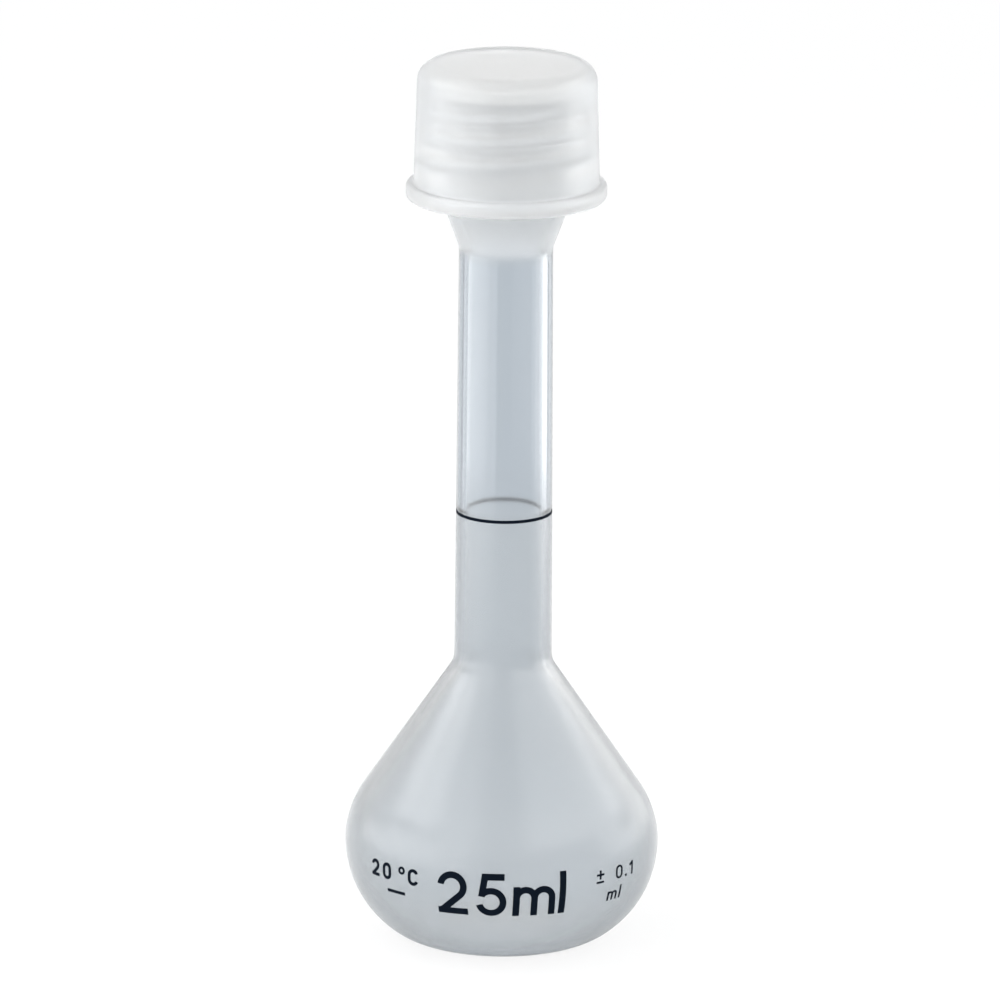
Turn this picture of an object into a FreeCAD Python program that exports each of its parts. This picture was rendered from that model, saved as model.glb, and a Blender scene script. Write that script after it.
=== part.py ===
import FreeCAD, Part
import math
import os
import Sketcher

# A small translucent volumetric flask that stands on its base: a pear-shaped bulb, a slim
# neck with one ink ring at its capacity, a flare up to a threaded finish, and a screw cap
# with a sealing liner. Millimetres and degrees, +Z up, origin at the centre of the base.

Vec = FreeCAD.Vector
doc = FreeCAD.newDocument("volumetric_flask")
sheet = doc.addObject("Spreadsheet::Sheet", "sizes")

SIZES = [
    # bulb, seen in section from the base up to the neck
    ("bulb_diameter", 39.9),
    ("equator_height", 12.4),
    ("heel_arc", 7.6),
    ("belly_undershoot", 1.1),
    ("shoulder_arc", 12.2),
    ("cone_half_angle", 34.3),
    ("foot_land", 1.93),
    ("punt_rise", 1.0),
    ("wall", 1.18),
    # neck and flare
    ("neck_diameter", 11.8),
    ("neck_draft", 0.27),
    ("shoulder_fillet", 3.0),
    ("flare_height", 90.3),
    ("flare_half_angle", 20.2),
    ("flare_fillet", 2.0),
    ("crown_round", 1.5),
    # threaded finish, measured up from where the flare starts
    ("finish_height", 20.4),
    ("finish_diameter", 16.0),
    ("finish_wall", 1.4),
    ("rim_round", 0.35),
    ("thread_pitch", 3.0),
    ("thread_length", 8.7),
    ("thread_depth", 0.9),
    ("thread_crest_width", 0.7),
    ("thread_root_width", 1.7),
    ("thread_crest_round", 0.2),
    ("thread_below_rim", 1.3),
    # cap and liner
    ("thread_clearance", 0.3),
    ("cap_thread_below_rim", 1.3),
    ("liner_thickness", 1.5),
    ("liner_clearance", 0.25),
    ("liner_edge", 0.2),
    ("roof_thickness", 1.95),
    ("cap_height", 17.4),
    ("cap_edge", 2.3),
    ("skirt_top_wall", 2.1),
    ("skirt_wall", 2.55),
    ("flange_reach", 0.95),
    ("flange_height", 2.1),
    ("flange_round", 0.62),
    ("flange_inner_round", 0.3),
    ("mouth_lead", 0.5),
    # ink
    ("ring_height", 56.15),
    ("ring_width", 0.4),
    ("ink_film", 0.05),
    ("ink_bite", 0.03),
    ("digit_height", 5.75),
    ("digit_stroke", 0.86),
    ("digit_drop", 1.6),
    ("left_height", 2.2),
    ("left_stroke", 0.42),
    ("right_height", 1.8),
    ("right_stroke", 0.26),
    ("side_drop", 0.3),
    ("line_gap", 2.75),
]
for row, (alias, value) in enumerate(SIZES, 1):
    sheet.set("A%d" % row, alias)
    sheet.set("B%d" % row, repr(value))
    sheet.setAlias("B%d" % row, alias)
doc.recompute()


class Driven:
    """A size together with the sheet formula that it comes from."""

    def __init__(self, value, text):
        self.value = value
        self.text = text

    def __add__(self, other):
        return Driven(self.value + number(other), "(%s + %s)" % (self.text, words(other)))

    def __sub__(self, other):
        return Driven(self.value - number(other), "(%s - %s)" % (self.text, words(other)))

    def __mul__(self, other):
        return Driven(self.value * number(other), "(%s * %s)" % (self.text, words(other)))

    def __truediv__(self, other):
        return Driven(self.value / number(other), "(%s / %s)" % (self.text, words(other)))


def number(size):
    return size.value if isinstance(size, Driven) else float(size)


def words(size):
    return size.text if isinstance(size, Driven) else repr(float(size))


def drive(alias):
    return Driven(float(sheet.get(alias)), "sizes." + alias)


def slope(angle):
    """The tangent of a driven angle in degrees."""
    return Driven(math.tan(math.radians(angle.value)), "tan(%s * 1 deg)" % angle.text)


def whole_up(size):
    """A driven size rounded up to a whole number, and not under zero."""
    return Driven(max(0, math.ceil(size.value)), "max(0; ceil(%s))" % size.text)


# Sketch helpers. Every section is drawn in the XZ plane, radius to the right and height up,
# at its true size, and then held by constraints that are bound to the sheet.


def section(body, name):
    sketch = body.newObject("Sketcher::SketchObject", name)
    plane = next(f for f in body.Origin.OriginFeatures if f.Role == "XZ_Plane")
    sketch.AttachmentSupport = (plane, "")
    sketch.MapMode = "FlatFace"
    return sketch


def tie(sketch, kind, *where, to=None):
    """One constraint; a driven one is bound to its sheet formula."""
    if to is None:
        return sketch.addConstraint(Sketcher.Constraint(kind, *where))
    value = math.radians(to.value) if kind == "Angle" else to.value
    index = sketch.addConstraint(Sketcher.Constraint(kind, *where, value))
    sketch.setExpression("Constraints[%d]" % index, to.text)
    return index


def place(sketch, geo, end, radius, height):
    """Pin one point of the section at a driven radius and height (0 is on an axis)."""
    if isinstance(radius, Driven):
        tie(sketch, "DistanceX", -1, 1, geo, end, to=radius)
    else:
        tie(sketch, "PointOnObject", geo, end, -2)
    if isinstance(height, Driven):
        tie(sketch, "DistanceY", -1, 1, geo, end, to=height)
    else:
        tie(sketch, "PointOnObject", geo, end, -1)


def rounding(before, spot, after, radius):
    """Tangent points, centre and turning sense of a round at a corner."""
    inward = (spot - before).normalize()
    outward = (after - spot).normalize()
    turn = math.atan2(inward.x * outward.y - inward.y * outward.x, inward.dot(outward))
    reach = radius * math.tan(abs(turn) / 2)
    first = spot - inward * reach
    last = spot + outward * reach
    side = 1.0 if turn > 0 else -1.0
    centre = first + Vec(-inward.y, inward.x, 0) * (radius * side)
    return first, last, centre, turn > 0


def add_arc(sketch, centre, radius, first, last, left):
    """An arc from first to last; the second value tells which ends those are."""
    start = math.atan2(first.y - centre.y, first.x - centre.x)
    stop = math.atan2(last.y - centre.y, last.x - centre.x)
    ends = (1, 2)
    if not left:
        start, stop = stop, start
        ends = (2, 1)
    if stop <= start:
        stop += 2 * math.pi
    circle = Part.Circle(Vec(centre.x, centre.y, 0), Vec(0, 0, 1), radius)
    return sketch.addGeometry(Part.ArcOfCircle(circle, start, stop), False), ends


def outline(sketch, corners):
    """A closed outline through corners (radius, height, round or None)."""
    count = len(corners)
    spots = [Vec(number(x), number(z), 0) for x, z, _ in corners]
    rounds = []
    for i, (_, _, bend) in enumerate(corners):
        if bend is None:
            rounds.append(None)
        else:
            rounds.append(rounding(spots[i - 1], spots[i], spots[(i + 1) % count], bend.value))
    lines = []
    for i in range(count):
        j = (i + 1) % count
        start = rounds[i][1] if rounds[i] else spots[i]
        stop = rounds[j][0] if rounds[j] else spots[j]
        lines.append(sketch.addGeometry(Part.LineSegment(start, stop), False))
    for i, (x, z, bend) in enumerate(corners):
        before = lines[i - 1]
        after = lines[i]
        if bend is None:
            tie(sketch, "Coincident", before, 2, after, 1)
            place(sketch, after, 1, x, z)
            continue
        first, last, centre, left = rounds[i]
        arc, ends = add_arc(sketch, centre, bend.value, first, last, left)
        tie(sketch, "Tangent", before, 2, arc, ends[0])
        tie(sketch, "Tangent", arc, ends[1], after, 1)
        tie(sketch, "Radius", arc, to=bend)
        mark = sketch.addGeometry(Part.Point(spots[i]), True)
        tie(sketch, "PointOnObject", mark, 1, before)
        tie(sketch, "PointOnObject", mark, 1, after)
        place(sketch, mark, 1, x, z)


def turn_about_z(body, sketch, kind, name):
    feature = body.newObject("PartDesign::" + kind, name)
    feature.Profile = sketch
    feature.ReferenceAxis = (sketch, ["V_Axis"])
    feature.Angle = 360
    return feature


def wind(body, sketch, name, pitch, length):
    """A right-hand helical ridge with the sketch as its section."""
    feature = body.newObject("PartDesign::AdditiveHelix", name)
    feature.Profile = sketch
    feature.ReferenceAxis = (sketch, ["V_Axis"])
    feature.Mode = 0
    feature.LeftHanded = False
    feature.setExpression("Pitch", pitch.text)
    feature.setExpression("Height", length.text)
    return feature


# Driven sizes that several pieces share

wall = drive("wall")
bulb_radius = drive("bulb_diameter") / 2
equator = drive("equator_height")
belly_arc = equator + drive("belly_undershoot")
flare_height = drive("flare_height")
rim = flare_height + drive("finish_height")
finish_radius = drive("finish_diameter") / 2
bore_radius = finish_radius - drive("finish_wall")
pitch = drive("thread_pitch")
thread_length = drive("thread_length")
thread_depth = drive("thread_depth")
crest = drive("thread_crest_width")
root = drive("thread_root_width")
crest_round = drive("thread_crest_round")
clearance = drive("thread_clearance")
thread_start = rim - drive("thread_below_rim") - thread_length
neck_at_ring = drive("neck_diameter") / 2 + slope(drive("neck_draft")) * (
    flare_height - drive("ring_height")
)

# Flask body. Its outside and its cavity are the same section, the cavity set in by the wall:
# punt and foot, heel, belly and shoulder arcs, cone, neck, flare and finish.


def flask_section(sketch, inset, finish, top):
    heel = drive("heel_arc") - inset
    belly = belly_arc - inset
    shoulder = drive("shoulder_arc") - inset
    widest = bulb_radius - inset
    cone = drive("cone_half_angle")
    draft = drive("neck_draft")
    flare = drive("flare_half_angle")
    land_width = drive("foot_land")
    apex = drive("punt_rise") + inset
    floor = inset if inset.value > 0 else 0
    neck = drive("neck_diameter") / 2 - inset

    level = number(floor)
    belly_centre = Vec(widest.value - belly.value, equator.value, 0)
    shoulder_centre = Vec(widest.value - shoulder.value, equator.value, 0)
    rise = belly_centre.y - (level + heel.value)
    reach = math.sqrt((belly.value - heel.value) ** 2 - rise**2)
    heel_centre = belly_centre + Vec(reach, -rise, 0)
    heel_start = Vec(heel_centre.x, level, 0)
    heel_end = belly_centre + (heel_centre - belly_centre).normalize() * belly.value
    side = Vec(widest.value, equator.value, 0)
    lean = math.radians(cone.value)
    shoulder_end = shoulder_centre + Vec(math.cos(lean), math.sin(lean), 0) * shoulder.value
    steep = math.tan(lean)
    gentle = math.tan(math.radians(draft.value))
    open_out = math.tan(math.radians(flare.value))
    neck_top = Vec(neck.value, flare_height.value, 0)
    meet = shoulder_end.x + steep * shoulder_end.y - neck_top.x - gentle * neck_top.y
    meet = meet / (steep - gentle)
    neck_foot = Vec(neck_top.x + gentle * (neck_top.y - meet), meet, 0)
    crown = Vec(finish.value, neck_top.y + (finish.value - neck_top.x) / open_out, 0)
    tip = Vec(finish.value, top.value, 0)

    foot = heel_start.x - land_width.value
    punt_rise = drive("punt_rise").value
    punt_radius = (foot**2 + punt_rise**2) / (2 * punt_rise)
    punt_centre = Vec(0, apex.value - punt_radius, 0)
    punt_edge = Vec(foot, level, 0)
    root_bend = drive("shoulder_fillet") + inset
    flare_bend = drive("flare_fillet") + inset
    crown_bend = drive("crown_round")
    at_root = rounding(shoulder_end, neck_foot, neck_top, root_bend.value)
    at_flare = rounding(neck_foot, neck_top, crown, flare_bend.value)
    at_crown = rounding(neck_top, crown, tip, crown_bend.value)

    def line(a, b):
        return sketch.addGeometry(Part.LineSegment(a, b), False)

    punt, _ = add_arc(sketch, punt_centre, punt_radius, punt_edge, Vec(0, apex.value, 0), True)
    land = line(punt_edge, heel_start)
    heel_arc, _ = add_arc(sketch, heel_centre, heel.value, heel_start, heel_end, True)
    side_arc, _ = add_arc(sketch, belly_centre, belly.value, heel_end, side, True)
    shoulder_arc, _ = add_arc(sketch, shoulder_centre, shoulder.value, side, shoulder_end, True)
    cone_line = line(shoulder_end, at_root[0])
    root_arc, root_ends = add_arc(sketch, at_root[2], root_bend.value, *at_root[:2], at_root[3])
    neck_line = line(at_root[1], at_flare[0])
    flare_arc, flare_ends = add_arc(sketch, at_flare[2], flare_bend.value, *at_flare[:2], at_flare[3])
    flare_line = line(at_flare[1], at_crown[0])
    crown_arc, crown_ends = add_arc(sketch, at_crown[2], crown_bend.value, *at_crown[:2], at_crown[3])
    finish_line = line(at_crown[1], tip)
    top_line = line(tip, Vec(0, top.value, 0))
    axis = line(Vec(0, top.value, 0), Vec(0, apex.value, 0))
    mark = sketch.addGeometry(Part.Point(neck_top), True)

    tie(sketch, "Coincident", axis, 2, punt, 2)
    tie(sketch, "Coincident", punt, 1, land, 1)
    tie(sketch, "Tangent", land, 2, heel_arc, 1)
    tie(sketch, "Tangent", heel_arc, 2, side_arc, 1)
    tie(sketch, "Tangent", side_arc, 2, shoulder_arc, 1)
    tie(sketch, "Tangent", shoulder_arc, 2, cone_line, 1)
    tie(sketch, "Tangent", cone_line, 2, root_arc, root_ends[0])
    tie(sketch, "Tangent", root_arc, root_ends[1], neck_line, 1)
    tie(sketch, "Tangent", neck_line, 2, flare_arc, flare_ends[0])
    tie(sketch, "Tangent", flare_arc, flare_ends[1], flare_line, 1)
    tie(sketch, "Tangent", flare_line, 2, crown_arc, crown_ends[0])
    tie(sketch, "Tangent", crown_arc, crown_ends[1], finish_line, 1)
    tie(sketch, "Coincident", finish_line, 2, top_line, 1)
    tie(sketch, "Coincident", top_line, 2, axis, 1)
    tie(sketch, "PointOnObject", punt, 3, -2)
    place(sketch, punt, 2, 0, apex)
    tie(sketch, "DistanceX", land, 1, land, 2, to=land_width)
    if isinstance(floor, Driven):
        tie(sketch, "DistanceY", -1, 1, land, 1, to=floor)
    else:
        tie(sketch, "PointOnObject", land, 1, -1)
    tie(sketch, "Horizontal", land)
    tie(sketch, "Radius", heel_arc, to=heel)
    tie(sketch, "Radius", side_arc, to=belly)
    tie(sketch, "Radius", shoulder_arc, to=shoulder)
    place(sketch, side_arc, 2, widest, equator)
    tie(sketch, "Horizontal", side_arc, 3, side_arc, 2)
    tie(sketch, "Angle", cone_line, to=cone + 90)
    tie(sketch, "Radius", root_arc, to=root_bend)
    tie(sketch, "Angle", neck_line, to=draft + 90)
    tie(sketch, "Radius", flare_arc, to=flare_bend)
    tie(sketch, "Angle", flare_line, to=flare * -1 + 90)
    tie(sketch, "PointOnObject", mark, 1, neck_line)
    tie(sketch, "PointOnObject", mark, 1, flare_line)
    place(sketch, mark, 1, neck, flare_height)
    tie(sketch, "Radius", crown_arc, to=crown_bend)
    tie(sketch, "Vertical", finish_line)
    tie(sketch, "Horizontal", top_line)
    place(sketch, top_line, 1, finish, top)
    tie(sketch, "PointOnObject", axis, 1, -2)


flask = doc.addObject("PartDesign::Body", "flask_body")
outside = section(flask, "flask_outside")
flask_section(outside, wall * 0, finish_radius, rim)
shell = turn_about_z(flask, outside, "Revolution", "flask_blank")
hollow = section(flask, "flask_hollow")
flask_section(hollow, wall, bore_radius, rim)
cavity = turn_about_z(flask, hollow, "Groove", "flask_cavity")
doc.recompute()

# The rim's two edges are rounded, and the flat land between them carries the liner.
rim_edges = []
for index, edge in enumerate(cavity.Shape.Edges, 1):
    box = edge.BoundBox
    if abs(box.ZMin - rim.value) < 1e-4 and abs(box.ZMax - rim.value) < 1e-4:
        rim_edges.append("Edge%d" % index)
lip = flask.newObject("PartDesign::Fillet", "flask_lip")
lip.Base = (cavity, rim_edges)
lip.setExpression("Radius", "sizes.rim_round")

# Outer thread of the finish: its root is sunk below the finish so that it grows out of it.
ridge = section(flask, "finish_thread_section")
sunk = finish_radius - clearance
flank = (root - crest) / thread_depth / 2
foot_half = root / 2 + flank * clearance
outline(
    ridge,
    [
        (sunk, thread_start - foot_half, None),
        (finish_radius + thread_depth, thread_start - crest / 2, crest_round),
        (finish_radius + thread_depth, thread_start + crest / 2, crest_round),
        (sunk, thread_start + foot_half, None),
    ],
)
wind(flask, ridge, "finish_thread", pitch, thread_length)

# Screw cap: skirt with a bead at its foot, flat roof, and an inner thread half a pitch
# away from the flask's thread, so that the two ridges lie in each other's grooves. Under a
# shorter cap the inner thread starts whole turns higher, clear of the cap's mouth.

roof = rim + drive("liner_thickness")
cap_top = roof + drive("roof_thickness")
cap_foot = cap_top - drive("cap_height")
cap_bore = finish_radius + thread_depth + clearance
skirt_foot = cap_bore + drive("skirt_wall")
skirt_top = cap_bore + drive("skirt_top_wall")
flange = skirt_foot + drive("flange_reach")
flange_top = cap_foot + drive("flange_height")
lead = drive("mouth_lead")

cap = doc.addObject("PartDesign::Body", "screw_cap")
cap_half = section(cap, "cap_half")
outline(
    cap_half,
    [
        (cap_bore + lead, cap_foot, None),
        (flange, cap_foot, drive("flange_round")),
        (flange, flange_top, drive("flange_round")),
        (skirt_foot, flange_top, drive("flange_inner_round")),
        (skirt_top, cap_top, drive("cap_edge")),
        (0, cap_top, None),
        (0, roof, None),
        (cap_bore, roof, None),
        (cap_bore, cap_foot + lead, None),
    ],
)
turn_about_z(cap, cap_half, "Revolution", "cap_shell")
cap_ridge = section(cap, "cap_thread_section")
sunk_out = cap_bore + clearance
first_turn = thread_start - pitch / 2
turns_left_out = whole_up((cap_foot + lead + foot_half - first_turn) / pitch)
cap_thread = first_turn + pitch * turns_left_out
cap_thread_length = rim - drive("cap_thread_below_rim") - cap_thread
outline(
    cap_ridge,
    [
        (cap_bore - thread_depth, cap_thread - crest / 2, crest_round),
        (sunk_out, cap_thread - foot_half, None),
        (sunk_out, cap_thread + foot_half, None),
        (cap_bore - thread_depth, cap_thread + crest / 2, crest_round),
    ],
)
wind(cap, cap_ridge, "cap_thread", pitch, cap_thread_length)

# Liner: a loose disc between the rim and the cap's roof, wider than the thread's opening.

liner = doc.addObject("PartDesign::Body", "cap_liner")
liner_half = section(liner, "liner_half")
liner_radius = cap_bore - drive("liner_clearance")
outline(
    liner_half,
    [
        (0, rim, None),
        (liner_radius, rim, drive("liner_edge")),
        (liner_radius, roof, drive("liner_edge")),
        (0, roof, None),
    ],
)
turn_about_z(liner, liner_half, "Revolution", "liner_disc")

# Graduation ring: an ink band on the neck whose top edge is the capacity mark.

film = drive("ink_film")
bite = drive("ink_bite")
ring = doc.addObject("PartDesign::Body", "graduation_ring")
ring_half = section(ring, "ring_half")
ring_top = drive("ring_height")
ring_foot = ring_top - drive("ring_width")
outline(
    ring_half,
    [
        (neck_at_ring - bite, ring_foot, None),
        (neck_at_ring + film, ring_foot, None),
        (neck_at_ring + film, ring_top, None),
        (neck_at_ring - bite, ring_top, None),
    ],
)
turn_about_z(ring, ring_half, "Revolution", "ring_band")
doc.recompute()

# Prints. A character is drawn flat from straight bars and round bows, pushed in towards the
# axis, and kept where it meets a thin film that follows the belly.


def bar(x0, y0, x1, y1, stroke):
    along = Vec(x1 - x0, y1 - y0, 0).normalize()
    across = Vec(-along.y, along.x, 0) * (stroke / 2)
    a = Vec(x0, y0, 0)
    b = Vec(x1, y1, 0)
    return Part.Face(Part.makePolygon([a - across, b - across, b + across, a + across, a - across]))


def bow(x, y, radius, start, stop, stroke):
    near = Part.Circle(Vec(x, y, 0), Vec(0, 0, 1), radius - stroke / 2)
    far = Part.Circle(Vec(x, y, 0), Vec(0, 0, 1), radius + stroke / 2)
    a = math.radians(start)
    b = math.radians(stop)
    inner = Part.ArcOfCircle(near, a, b)
    outer = Part.ArcOfCircle(far, a, b)
    ends = [
        Part.LineSegment(inner.StartPoint, outer.StartPoint).toShape(),
        Part.LineSegment(outer.EndPoint, inner.EndPoint).toShape(),
    ]
    return Part.Face(Part.Wire([ends[0], outer.toShape(), ends[1], inner.toShape()]))


def char_two(high, stroke):
    wide = 0.68 * high
    r = (wide - stroke) / 2
    y = high - stroke / 2 - r
    end = math.radians(-48)
    strokes = [
        bow(wide / 2, y, r, -48, 172, stroke),
        bar(wide / 2 + r * math.cos(end), y + r * math.sin(end), 0.7 * stroke, 0.6 * stroke, stroke),
        bar(0, stroke / 2, wide, stroke / 2, stroke),
    ]
    return strokes, wide


def char_five(high, stroke):
    wide = 0.68 * high
    r = (wide - stroke) / 2
    y = stroke / 2 + r
    join = math.radians(142)
    foot_x = wide / 2 + r * math.cos(join)
    foot_y = y + r * math.sin(join)
    strokes = [
        bow(wide / 2, y, r, -165, 142, stroke),
        bar(0.2 * wide, high - stroke / 2, 0.94 * wide, high - stroke / 2, stroke),
        bar(0.2 * wide + stroke / 2, high - stroke / 4, foot_x, foot_y - stroke / 4, stroke),
    ]
    return strokes, wide


def char_m(high, stroke):
    tall = 0.7 * high
    wide = 0.95 * high
    r = (wide - stroke) / 4
    y = tall - stroke / 2 - r
    x = stroke / 2
    strokes = [
        bar(x, 0, x, tall, stroke),
        bow(x + r, y, r, 0, 180, stroke),
        bow(x + 3 * r, y, r, 0, 180, stroke),
        bar(x + 2 * r, 0, x + 2 * r, y, stroke),
        bar(x + 4 * r, 0, x + 4 * r, y, stroke),
    ]
    return strokes, wide


def char_l(high, stroke):
    return [bar(stroke / 2, 0, stroke / 2, high, stroke)], stroke


def char_zero(high, stroke):
    wide = 0.68 * high
    r = (wide - stroke) / 2
    low = stroke / 2 + r
    top = high - low
    strokes = [
        bow(wide / 2, top, r, 0, 180, stroke),
        bow(wide / 2, low, r, 180, 360, stroke),
        bar(stroke / 2, low, stroke / 2, top, stroke),
        bar(wide - stroke / 2, low, wide - stroke / 2, top, stroke),
    ]
    return strokes, wide


def char_one(high, stroke):
    x = 0.36 * high
    strokes = [
        bar(x, 0, x, high, stroke),
        bar(x, high - 0.7 * stroke, x - 0.3 * high, 0.72 * high, stroke),
    ]
    return strokes, x + stroke / 2


def char_degree(high, stroke):
    thin = 0.7 * stroke
    r = 0.17 * high
    x = r + thin / 2
    y = high - r - thin / 2
    return [bow(x, y, r, 0, 180, thin), bow(x, y, r, 180, 360, thin)], 2 * x


def char_c(high, stroke):
    wide = 0.72 * high
    r = (wide - stroke) / 2
    low = stroke / 2 + r
    top = high - low
    strokes = [
        bow(wide / 2, top, r, 20, 180, stroke),
        bow(wide / 2, low, r, 180, 340, stroke),
        bar(stroke / 2, low, stroke / 2, top, stroke),
    ]
    return strokes, wide


def char_plus_minus(high, stroke):
    wide = 0.66 * high
    y = 0.62 * high
    strokes = [
        bar(0, y, wide, y, stroke),
        bar(wide / 2, y - wide / 2, wide / 2, y + wide / 2, stroke),
        bar(0, stroke / 2, wide, stroke / 2, stroke),
    ]
    return strokes, wide


def char_point(high, stroke):
    return [bar(0, 0.6 * stroke, 1.2 * stroke, 0.6 * stroke, 1.2 * stroke)], 1.2 * stroke


def rule(high, stroke):
    return [bar(0, stroke / 2, 1.35 * high, stroke / 2, stroke)], 1.35 * high


def belly_film():
    """The thin film that the prints are cut from, right round the belly."""
    inner = -bite.value
    outer = film.value
    widest = bulb_radius.value
    centres = []
    for arc in (belly_arc, drive("shoulder_arc")):
        centres.append((Vec(widest - arc.value, 0, equator.value), arc.value))

    def edge(which, gap, start, stop):
        centre, size = centres[which]
        circle = Part.Circle(centre, Vec(0, -1, 0), size + gap)
        circle.XAxis = Vec(1, 0, 0)
        return Part.ArcOfCircle(circle, math.radians(start), math.radians(stop))

    low = -44
    high = 30
    arcs = [edge(0, outer, low, 0), edge(1, outer, 0, high), edge(1, inner, 0, high), edge(0, inner, low, 0)]
    caps = [
        Part.LineSegment(arcs[1].EndPoint, arcs[2].EndPoint),
        Part.LineSegment(arcs[3].StartPoint, arcs[0].StartPoint),
    ]
    loop = [arcs[0], arcs[1], caps[0], arcs[2], arcs[3], caps[1]]
    face = Part.Face(Part.Wire([curve.toShape() for curve in loop]))
    return face.revolve(Vec(0, 0, 0), Vec(0, 0, 1), 360)


band = belly_film()


def print_line(chars, high, stroke, spacing, centre_deg, level):
    """One line of print, centred at an angle from the front (-Y) towards +X."""
    drawn = [(0, chars[0](high, stroke))]
    at = drawn[0][1][1]
    for char, gap in zip(chars[1:], spacing):
        at += gap
        made = char(high, stroke)
        drawn.append((at, made))
        at += made[1]
    radius = bulb_radius.value
    deep = 0.45 * radius
    inked = []
    for start, (strokes, wide) in drawn:
        angle = math.radians(centre_deg) + (start + wide / 2 - at / 2) / radius
        out = Vec(math.sin(angle), -math.cos(angle), 0)
        right = Vec(math.cos(angle), math.sin(angle), 0)
        blocks = [stroke_face.extrude(Vec(0, 0, deep + 2)) for stroke_face in strokes]
        block = blocks[0]
        if len(blocks) > 1:
            block = blocks[0].multiFuse(blocks[1:]).removeSplitter()
        block.translate(Vec(-wide / 2, 0, 0))
        turn = FreeCAD.Rotation(right, Vec(0, 0, 1), out, "XYZ")
        spot = out * (radius - deep) + Vec(0, 0, level)
        block.Placement = FreeCAD.Placement(spot, turn).multiply(block.Placement)
        inked.extend(block.common(band).Solids)
    return inked


def print_node(name, solids):
    node = doc.addObject("Part::Feature", name)
    node.Shape = Part.makeCompound(solids)
    node.Placement = FreeCAD.Placement()
    return node


digit_high = drive("digit_height").value
digit_stroke = drive("digit_stroke").value
digit_foot = equator.value - drive("digit_drop").value - digit_high / 2
left_high = drive("left_height").value
left_stroke = drive("left_stroke").value
right_high = drive("right_height").value
right_stroke = drive("right_stroke").value
side_level = equator.value - drive("side_drop").value
lower_level = side_level - drive("line_gap").value

prints = [
    print_node(
        "capacity_print",
        print_line(
            [char_two, char_five, char_m, char_l],
            digit_high,
            digit_stroke,
            [1.15, 0.9, 0.6],
            0.2,
            digit_foot,
        ),
    ),
    print_node(
        "temperature_print",
        print_line(
            [char_two, char_zero, char_degree, char_c],
            left_high,
            left_stroke,
            [0.75, 1.3, 0.5],
            -43.6,
            side_level - left_high / 2,
        )
        + print_line([rule], left_high, left_stroke, [], -42.7, lower_level),
    ),
    print_node(
        "tolerance_print",
        print_line(
            [char_plus_minus, char_zero, char_point, char_one],
            right_high,
            right_stroke,
            [2.1, 0.6, 0.5],
            47,
            side_level - right_high / 2,
        )
        + print_line([char_m, char_l], right_high, right_stroke, [0.5], 47, lower_level - right_high / 2),
    ),
]
doc.recompute()

# Every feature must have been made, and every piece must be sound, before it is written.

for item in doc.Objects:
    if "Invalid" in item.State or "Error" in item.State:
        raise RuntimeError("not made: %s %s" % (item.Name, item.State))
for sketch in doc.findObjects("Sketcher::SketchObject"):
    if sketch.solve() != 0:
        raise RuntimeError("not solved: " + sketch.Name)
    print(sketch.Name, "fully constrained:", sketch.FullyConstrained)

pieces = [flask, cap, liner, ring] + prints
for piece in pieces:
    shape = piece.Shape
    if shape.isNull() or not shape.isValid() or not shape.Solids:
        raise RuntimeError("unsound: " + piece.Label)

# Capacity up to the ring: the cavity's own section turned about the axis and cut off there.
filled = Part.Face(hollow.Shape.Wires[0]).revolve(Vec(0, 0, 0), Vec(0, 0, 1), 360)
wide = 2 * bulb_radius.value
below = Part.makeBox(wide, wide, drive("ring_height").value, Vec(-wide / 2, -wide / 2, 0))
print("capacity to the ring: %.2f ml" % (filled.common(below).Volume / 1000))

os.makedirs("parts", exist_ok=True)
for piece in pieces:
    piece.Shape.exportStep("parts/%s.step" % piece.Label)
    box = piece.Shape.BoundBox
    print(
        "%-18s solids %d volume %.2f mm3 height %.2f to %.2f"
        % (piece.Label, len(piece.Shape.Solids), piece.Shape.Volume, box.ZMin, box.ZMax)
    )
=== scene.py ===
# %% [markdown]
# # A small volumetric flask with a screw cap
#
# The real object is a laboratory flask moulded from polypropylene: a pear-shaped bulb, a slim
# neck with one ink ring, a flare up to a threaded mouth, and a milky screw cap. The packed
# model gives its exact sizes and its moving bodies. This lesson rebuilds the two mouldings and
# the liner as smooth turned meshes, gives every piece its finish, and lights the scene.

# %% Load the frame
import math

import bmesh
import bpy
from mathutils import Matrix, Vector


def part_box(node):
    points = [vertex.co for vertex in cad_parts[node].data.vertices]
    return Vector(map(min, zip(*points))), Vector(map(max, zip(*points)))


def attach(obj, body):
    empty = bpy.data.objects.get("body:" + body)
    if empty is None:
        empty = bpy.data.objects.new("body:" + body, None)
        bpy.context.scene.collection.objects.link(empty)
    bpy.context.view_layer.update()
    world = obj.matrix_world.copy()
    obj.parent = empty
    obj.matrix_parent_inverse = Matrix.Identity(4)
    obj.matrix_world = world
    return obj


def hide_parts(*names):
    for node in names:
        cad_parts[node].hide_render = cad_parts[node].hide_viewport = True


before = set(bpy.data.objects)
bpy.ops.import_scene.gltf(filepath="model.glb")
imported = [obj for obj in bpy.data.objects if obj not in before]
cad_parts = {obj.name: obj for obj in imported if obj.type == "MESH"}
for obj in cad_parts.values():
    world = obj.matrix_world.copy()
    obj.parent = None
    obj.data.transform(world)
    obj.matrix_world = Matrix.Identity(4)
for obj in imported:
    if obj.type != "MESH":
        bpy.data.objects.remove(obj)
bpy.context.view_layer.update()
MM = 0.001
scene = bpy.context.scene

# %% [markdown]
# ## Sizes
#
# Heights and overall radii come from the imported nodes, so the turned pieces land exactly where
# the solids are. The arcs and walls between them are the moulding's own drawing sizes, in
# millimetres, as a maker would dimension the section.

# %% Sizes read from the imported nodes
flask_low, flask_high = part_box("flask_body")
cap_low, cap_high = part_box("screw_cap")
liner_low, liner_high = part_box("cap_liner")
ring_low, ring_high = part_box("graduation_ring")

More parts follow.
